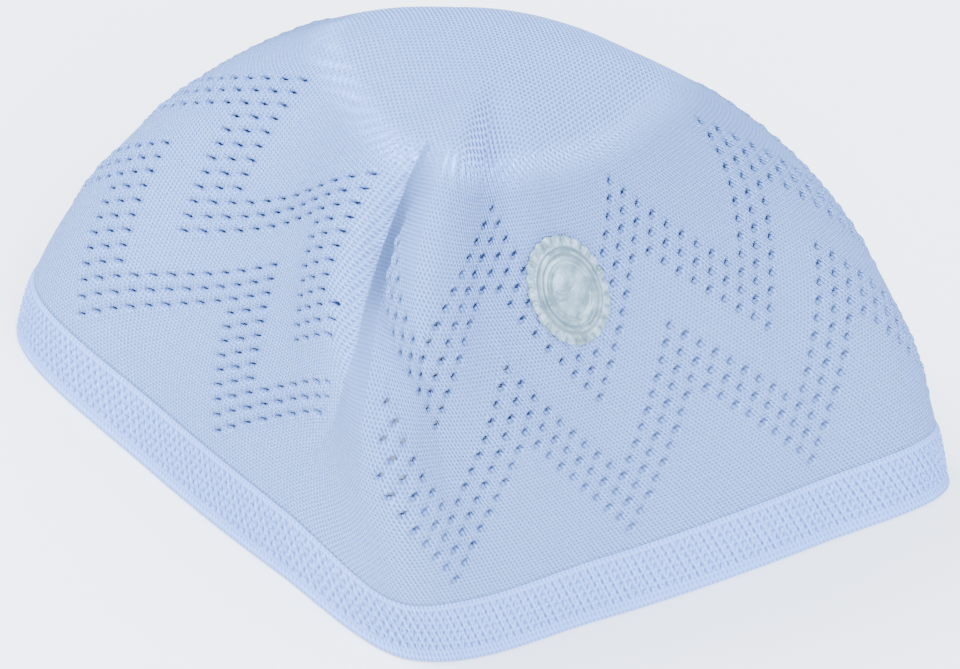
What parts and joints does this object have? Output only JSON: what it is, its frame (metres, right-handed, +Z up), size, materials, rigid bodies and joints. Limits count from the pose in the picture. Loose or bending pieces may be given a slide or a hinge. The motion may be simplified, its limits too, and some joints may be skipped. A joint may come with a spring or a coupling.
{
  "type": "knitted kufi cap",
  "caption": "White knitted cotton kufi skullcap with zigzags of eyelets, a moss stitch band with a rolled hem and a clear oval badge, standing on its rim.",
  "frame": {"origin": "on the surface that the cap stands on, below the middle of its box", "axes": "+X across the cap from its left corner to its right corner, -Y towards its front corner and ridge, +Z up"},
  "size_m": [0.2436, 0.1322, 0.125],
  "materials": {
    "jersey": "matte",
    "band_knit": "matte",
    "clear_plastic": "gloss"
  },
  "bodies": {
    "root": {"crown": "jersey", "rim_band": "band_knit", "badge": "clear_plastic"}
  },
  "joints": []
}
